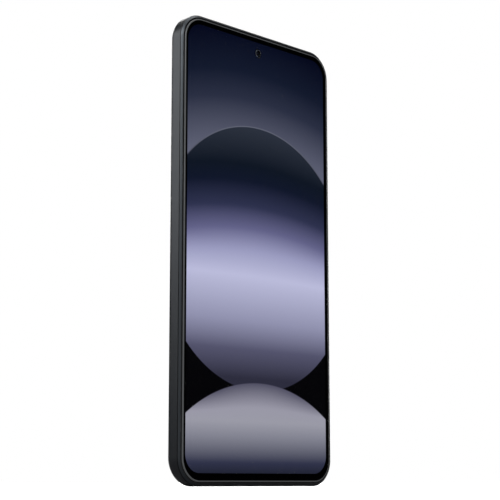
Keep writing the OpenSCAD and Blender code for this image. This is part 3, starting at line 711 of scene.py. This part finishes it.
# Places and diameters of the rings: main, wide and close-up camera.
lenses = ((lens_x, main_z, RING_D), (lens_x, wide_z, RING_D), (small_x, main_z, SMALL_D))
island_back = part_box("camera_island")[0][1] / MM
island_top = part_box("camera_island")[1][1] / MM
flange_r = ISLAND_R + ISLAND_FLANGE
flange_y = island_back + 0.4
island_path = ring_path(island_w / 2, island_h / 2, ISLAND_R, 20, 3)
section = rounded(
    [
        (1.0, island_back), (flange_r, island_back), (flange_r, flange_y), (ISLAND_R, flange_y),
        (ISLAND_R, island_top), (ISLAND_R - 1.4, island_top), (1.0, island_top),
    ],
    [0, 0.05, 0.05, 0.05, 0.5, 0, 0], 6,
)
camera_island = solid("camera_island", carried(section, island_path, (island[0], island[2])))
seat_y = ring_low[1]
fine_circle = ring_path(0, 0, 0, 24, 0)
wells = []
for x, z, d in lenses:
    seat = d / 2 + FIT
    well = [(AXIS, seat_y - 3), (d / 2 - 1, seat_y - 3), (d / 2 - 1, seat_y), (seat, seat_y)]
    well += [(seat, island_top - 0.12), (seat + 0.12, island_top), (seat + 0.12, island_top + 1)]
    wells.append(solid("cutter", carried(well + [(AXIS, island_top + 1)], fine_circle, (x, z))))
FLASH_R = 2.5
flash_x, _, flash_z = middle("flash_lens")
well = [(AXIS, island_back - 1), (FLASH_R + FIT, island_back - 1), (FLASH_R + FIT, island_top - 0.1)]
well += [(FLASH_R + 0.18, island_top), (FLASH_R + 0.18, island_top + 1), (AXIS, island_top + 1)]
wells.append(solid("cutter", carried(well, fine_circle, (flash_x, wide_z))))
cut(camera_island, [joined("wells", wells)])
n = grained("island_finish", "1b1d20", 0.3, 0.75, grain=6000, relief=0.002, patch=60, spread=0.06)
shaded(camera_island, n.material)
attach(camera_island, "phone")
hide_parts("camera_island")

# Each ring has a bevelled crown and a recess that takes the window, which lies WINDOW_DROP below the crown.
RECESS_IN = 0.7
RECESS_DEEP = 0.68
WINDOW_IN = 0.78
WINDOW_T = 0.5
WINDOW_DROP = 0.1
crown = ring_high[1]
top = crown - WINDOW_DROP
rings = []
windows = []
for x, z, d in lenses:
    r = d / 2
    recess_r = r - RECESS_IN
    section = rounded(
        [
            (r - 1, seat_y), (r, seat_y), (r, crown - 0.3), (r - 0.3, crown), (recess_r, crown),
            (recess_r, crown - RECESS_DEEP), (r - 1, crown - RECESS_DEEP),
        ],
        [0, 0.05, 0.18, 0.14, 0.1, 0.02, 0.03], 5,
    )
    rings.append(solid("ring", carried(section, fine_circle, (x, z)), ring=True))
    glass_r = r - WINDOW_IN
    section = rounded(
        [(AXIS, top - WINDOW_T), (glass_r, top - WINDOW_T), (glass_r, top), (AXIS, top)],
        [0, 0.05, 0.12, 0], 4,
    )
    windows.append(solid("window", carried(section, fine_circle, (x, z))))
lens_rings = joined("lens_rings", rings)
n = grained("ring_finish", "75797e", 0.2, 0.95, grain=9000, relief=0.001, patch=200, spread=0.08)
shaded(lens_rings, n.material, 30)
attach(lens_rings, "phone")
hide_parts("lens_rings")
lens_windows = joined("lens_windows", windows)
n = Nodes("window_glass")
n.set(Transmission_Weight=1.0, IOR=1.1, Base_Color=(0.5, 0.54, 0.64, 1))
n.link(n.span(n.noise(300, 4.0), 0.35, 0.75, 0.0, 0.03), n.shader.inputs["Roughness"])
shaded(lens_windows, n.material, 50)
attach(lens_windows, "phone")
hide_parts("lens_windows")


# ---------------------------------------------------------------- rear cameras
# Each camera is a black module with a moulded barrel: stepped light traps run down to a coated front
# lens. The main camera's barrel moves in its housing to focus, and the other two are fixed.


def lens_barrel(name, x, z, r, front, body, deep, shine):
    """Lathed barrel about (x, z) with its face at `front`: three steps in to 0.62 r, and a domed lens inside,
    (0.6 r cos a, front - 0.75 + 0.5 sin a)."""
    section = rounded(
        [
            (AXIS, front - 2.2), (r, front - 2.2), (r, front), (0.86 * r, front),
            (0.84 * r, front - 0.16), (0.75 * r, front - 0.16), (0.73 * r, front - 0.34),
            (0.64 * r, front - 0.34), (0.62 * r, front - 0.9), (AXIS, front - 0.9),
        ],
        [0, 0.03, 0.08, 0.03, 0.02, 0.02, 0.02, 0.02, 0.02, 0], 3,
    )
    wall = solid(name, carried(section, fine_circle, (x, z)))
    shaded(wall, camera_black, 40)
    a = np.linspace(0, np.pi / 2, 11)
    dome = np.stack([0.6 * r * np.cos(a), front - 0.75 + 0.5 * np.sin(a)], -1)
    dome[-1, 0] = AXIS
    section = np.concatenate([[(AXIS, front - 0.85)], dome])
    glass = solid(name + "_glass", carried(section, fine_circle, (x, z)))
    shaded(glass, coated(name + "_coating", deep, shine), 60)
    for piece in (wall, glass):
        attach(piece, body)
    return wall


# A fixed barrel stands PROUD of its module, so that the two faces don't lie in one plane.
PROUD = 0.02
fronts = {name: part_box(name)[1][1] / MM for name in ("main_lens_barrel", "wide_camera", "close_camera")}
wide_front = fronts["wide_camera"] + PROUD
close_front = fronts["close_camera"] + PROUD
main_lens_barrel = lens_barrel(
    "main_lens_barrel", lens_x, main_z, 3.4, fronts["main_lens_barrel"], "focus_lens", "0a1a2e", "2a1440"
)
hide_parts("main_lens_barrel")
lens_barrel("wide_lens", lens_x, wide_z, 2.82, wide_front, "phone", "08221e", "13203f")
lens_barrel("close_lens", small_x, main_z, 2.12, close_front, "phone", "1c1030", "0a1c2c")

# The flash: a phosphor tile under a clear moulded lens with fine ring prisms, whose height over their floor
# is PRISM |sin 6 pi t| from the lens's rim to its middle.
PRISM = 0.1
FLASH_FOOT_R = 2.2
FLASH_HEAD = 0.8
flash_low, flash_high = (p[1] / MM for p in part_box("flash_lens"))
rise = PRISM * np.abs(np.sin(np.linspace(0, 6 * np.pi, 49)))
prism = np.stack([np.linspace(FLASH_R - 0.35, AXIS, 49), flash_high - 0.14 + rise], -1)
section = np.concatenate([
    [(AXIS, flash_low), (FLASH_FOOT_R, flash_low), (FLASH_FOOT_R, flash_high - FLASH_HEAD)],
    [(FLASH_R, flash_high - FLASH_HEAD), (FLASH_R, flash_high - 0.08)],
    [(FLASH_R - 0.08, flash_high), (FLASH_R - 0.3, flash_high)], prism,
])
flash_lens = solid("flash_lens", carried(section, fine_circle, (flash_x, flash_z)))
n = Nodes("flash_diffuser")
n.set(Transmission_Weight=0.7, IOR=1.49)
n.link(n.mix(n.span(n.noise(500), 0.3, 0.7), tone("efe9d2"), tone("fbf8ee")), n.shader.inputs["Base Color"])
n.link(n.span(n.noise(2000), 0.3, 0.7, 0.12, 0.25), n.shader.inputs["Roughness"])
shaded(flash_lens, n.material, 50)
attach(flash_lens, "phone")
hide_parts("flash_lens")


# ---------------------------------------------------------------- side keys
# The power key and the volume key are milled bars with round ends and a soft outer edge, anodised like
# the frame. Each has a flange inside the wall, so that it can't fall out.
KEY_ROUND = 0.28
FLANGE_T = 0.4
for key, body in (("power_button", "power_key"), ("volume_rocker", "volume_key")):
    z, length = keys[key]
    inner, outer = (p[0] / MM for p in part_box(key))
    _, flange_h, flange_l = extent(key)
    r = KEY_H / 2
    section = rounded(
        [(0.05, inner + 0.1), (r, inner + 0.1), (r, outer), (0.05, outer)], [0, 0, KEY_ROUND, 0], 6
    )
    bar = solid("bar", carried(section, ring_path(length / 2, r, r, 12, 4), (z, KEY_Y), FACING_X))
    section = [(0, inner), (0, inner + FLANGE_T)]
    flange_path = ring_path(flange_l / 2, flange_h / 2, 0, 1, 0)
    flat = solid("flat", carried(section, flange_path, (z, KEY_Y), FACING_X))
    piece = joined(key, [bar, flat])
    shaded(piece, frame_finish, 40)
    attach(piece, body)
    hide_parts(key)


# ---------------------------------------------------------------- card tray and inner pieces
# The tray is milled from the frame's metal. Inside are boards, shields, cables, battery, sound boxes
# and brackets, which keep their CAD shapes and get a finish that suits each one.


def dress(finish, *names):
    """Puts a finish on CAD nodes through their material slots."""
    for name in names:
        for slot in nodes[name].material_slots:
            slot.link = "OBJECT"
            slot.material = finish


dress(frame_finish, "sim_tray")
dress(grained("die_cast", "8d9196", 0.5, 0.8, grain=2500, relief=0.01, patch=120).material, "mid_plate")
dress(grained("foam", "101010", 0.9, grain=9000, relief=0.03).material, "display_gasket", "back_gasket")
dress(grained("woven_mesh", "2a2b2d", 0.5, 0.6, grain=12000, relief=0.01).material,
      "earpiece_mesh", "speaker_mesh")
dress(camera_black, "main_camera", "wide_camera", "close_camera")
dress(grained("moulded", "1b1c1e", 0.55, grain=3500, relief=0.006).material,
      "upper_bracket", "lower_bracket", "speaker_box", "earpiece_box")
dress(grained("stamped_steel", "b3b6b9", 0.3, 0.95, grain=2600, relief=0.003, stretch=(1, 1, 0.05)).material,
      "side_key_bracket", "sim_reader", "eject_rod", "eject_lever", "back_shields", "front_shields",
      "haptic_case", "haptic_springs", "screws", "usb_port")
dress(grained("cream_nylon", "d8d0b8", 0.5, grain=2500, relief=0.004).material, "board_connectors")
dress(grained("red_rubber", "7a2a22", 0.6, grain=3000, relief=0.006).material, "sim_seal", "usb_seal")
dress(grained("graphite_film", "26282b", 0.4, 0.3, grain=900, relief=0.006, stretch=(1, 1, 0.1)).material,
      "graphite_sheet")
dress(grained("battery_wrap", "17181a", 0.35, grain=260, relief=0.03, patch=30).material, "battery")
dress(grained("stretch_tape", "dcdcd8", 0.6, grain=1200, relief=0.01).material, "battery_adhesive")
dress(grained("cable_jacket", "111214", 0.5, grain=4000, relief=0.004).material, "coax_cable")
dress(grained("sensor_glass", "101317", 0.25, grain=9000, relief=0.001).material, "fingerprint_sensor")
dress(grained("gold_can", "b59b62", 0.35, 0.9, grain=2600, relief=0.003).material, "top_mic", "main_mic")
dress(grained("cone_film", "c9c4b0", 0.5, grain=1600, relief=0.01).material,
      "speaker_diaphragm", "earpiece_diaphragm")
dress(grained("tungsten", "6b6d70", 0.45, 0.9, grain=4000, relief=0.006).material, "haptic_mass")
dress(grained("tongue", "141416", 0.45, grain=4000, relief=0.003).material, "usb_tongue")

# Phosphor tile: pale yellow ceramic, slightly uneven.
dress(grained("phosphor", "e9d27a", 0.6, grain=3000, relief=0.004, spread=0.2).material, "flash_led")

# Circuit boards: green solder mask over fine copper tracks that run both ways in patches.
n = grained("solder_mask", "17402a", 0.35, grain=4000, relief=0.002)
tracks = []
for axis in ("X", "Z"):
    wave = n.add("ShaderNodeTexWave", bands_direction=axis)
    wave.inputs["Scale"].default_value = 700
    wave.inputs["Distortion"].default_value = 0.4
    n.link(n.place, wave.inputs["Vector"])
    tracks.append(n.span(wave.outputs["Fac"], 0.7, 0.85))
choice = n.span(n.noise(180, 0.0), 0.49, 0.51)
lines = n.math("ADD", n.math("MULTIPLY", tracks[0], choice),
               n.math("MULTIPLY", tracks[1], n.math("SUBTRACT", 1.0, choice)))
masked = n.math("MULTIPLY", lines, n.span(n.noise(90, 1.0), 0.48, 0.52))
old = n.shader.inputs["Base Color"].links[0].from_socket
n.link(n.mix(masked, old, tone("2f6b47")), n.shader.inputs["Base Color"])
n.bump(masked, 0.02)
n.set(Coat_Weight=0.4, Coat_Roughness=0.15)
dress(n.material, "main_board", "sub_board")

# Flat cables: amber film with parallel copper tracks.
n = grained("flex_film", "8a5a22", 0.35, grain=2000, relief=0.003)
wave = n.add("ShaderNodeTexWave", bands_direction="X")
wave.inputs["Scale"].default_value = 600
n.link(n.place, wave.inputs["Vector"])
old = n.shader.inputs["Base Color"].links[0].from_socket
n.link(n.mix(n.span(wave.outputs["Fac"], 0.5, 0.8), old, tone("b9823a")), n.shader.inputs["Base Color"])
dress(n.material, "side_key_flex", "main_flex", "display_flex")


# ---------------------------------------------------------------- floor, light and camera
# A table and a surround with large soft lamps to the left, above, in front, behind and on the right. Both
# are white to the camera only: to the phone the table is grey and the surround nearly dark, so that they
# throw little light on it. The side that the screen mirrors towards the camera is left dark.
FLOOR_SIZE = 6.0
bpy.ops.mesh.primitive_plane_add(size=FLOOR_SIZE, location=(0, 0, 0))
floor = bpy.context.object
floor.name = "floor"
n = Nodes("floor_finish")
seen = n.add("ShaderNodeLightPath").outputs["Is Camera Ray"]
white = n.mix(n.noise(4, 2.0), tone("f4f4f4"), tone("ffffff"))
n.link(n.mix(seen, tone("646466"), white), n.shader.inputs["Base Color"])
far = n.add("ShaderNodeVectorMath", operation="LENGTH")
n.link(n.place, far.inputs[0])
glow = n.span(far.outputs["Value"], 0.4, 1.8, 0.1, 1.0)
n.link(n.math("MULTIPLY", seen, glow), n.shader.inputs["Emission Strength"])
n.set(Roughness=0.9, Emission_Color=(1, 1, 1, 1))
floor.data.materials.append(n.material)

world = bpy.data.worlds.new("studio")
world.use_nodes = True
bpy.context.scene.world = world
tree = world.node_tree
background = tree.nodes["Background"]
path = tree.nodes.new("ShaderNodeLightPath")
span = tree.nodes.new("ShaderNodeMapRange")
AMBIENT = 0.015
span.inputs["To Min"].default_value = AMBIENT
span.inputs["To Max"].default_value = 1.0
tree.links.new(path.outputs["Is Camera Ray"], span.inputs["Value"])
tree.links.new(span.outputs["Result"], background.inputs["Strength"])
background.inputs["Color"].default_value = (1, 1, 1, 1)


def lamp(name, place, target, size, power):
    """Square soft lamp at a place in metres, turned so that its -Z looks at the target."""
    light = bpy.data.lights.new(name, "AREA")
    light.size = size
    light.energy = power
    holder = bpy.data.objects.new(name, light)
    holder.location = place
    bpy.context.scene.collection.objects.link(holder)
    holder.rotation_euler = (Vector(target) - holder.location).to_track_quat("-Z", "Y").to_euler()


lamp("lamp_left", (-1.1, 1.0, 0.75), (0, 0, 0.1), 0.9, 14)
lamp("lamp_top", (0.0, 0.1, 1.6), (0, 0, 0), 1.6, 30)
lamp("lamp_front", (-1.2, -1.0, 1.1), (0, 0, 0.08), 0.8, 38)
lamp("lamp_back", (1.0, 1.4, 0.9), (0, 0, 0.08), 1.0, 15)
lamp("lamp_right", (1.5, 0.3, 0.5), (0, 0, 0.08), 0.8, 12)

# The camera stands low at the front left corner, half a metre off, and looks up a little.
LOOK_UP = 8.785
TURNED = 45.203
view = bpy.data.cameras.new("camera")
view.sensor_width = 36.0
view.lens = 97.9
view.shift_y = 0.0436
view.clip_start = 0.01
camera = bpy.data.objects.new("camera", view)
bpy.context.scene.collection.objects.link(camera)
camera.location = (-0.3398, -0.3365, 0.0015)
camera.rotation_euler = (math.radians(90 + LOOK_UP), 0, -math.radians(TURNED))
bpy.context.scene.camera = camera
bpy.context.scene.view_settings.view_transform = "Standard"
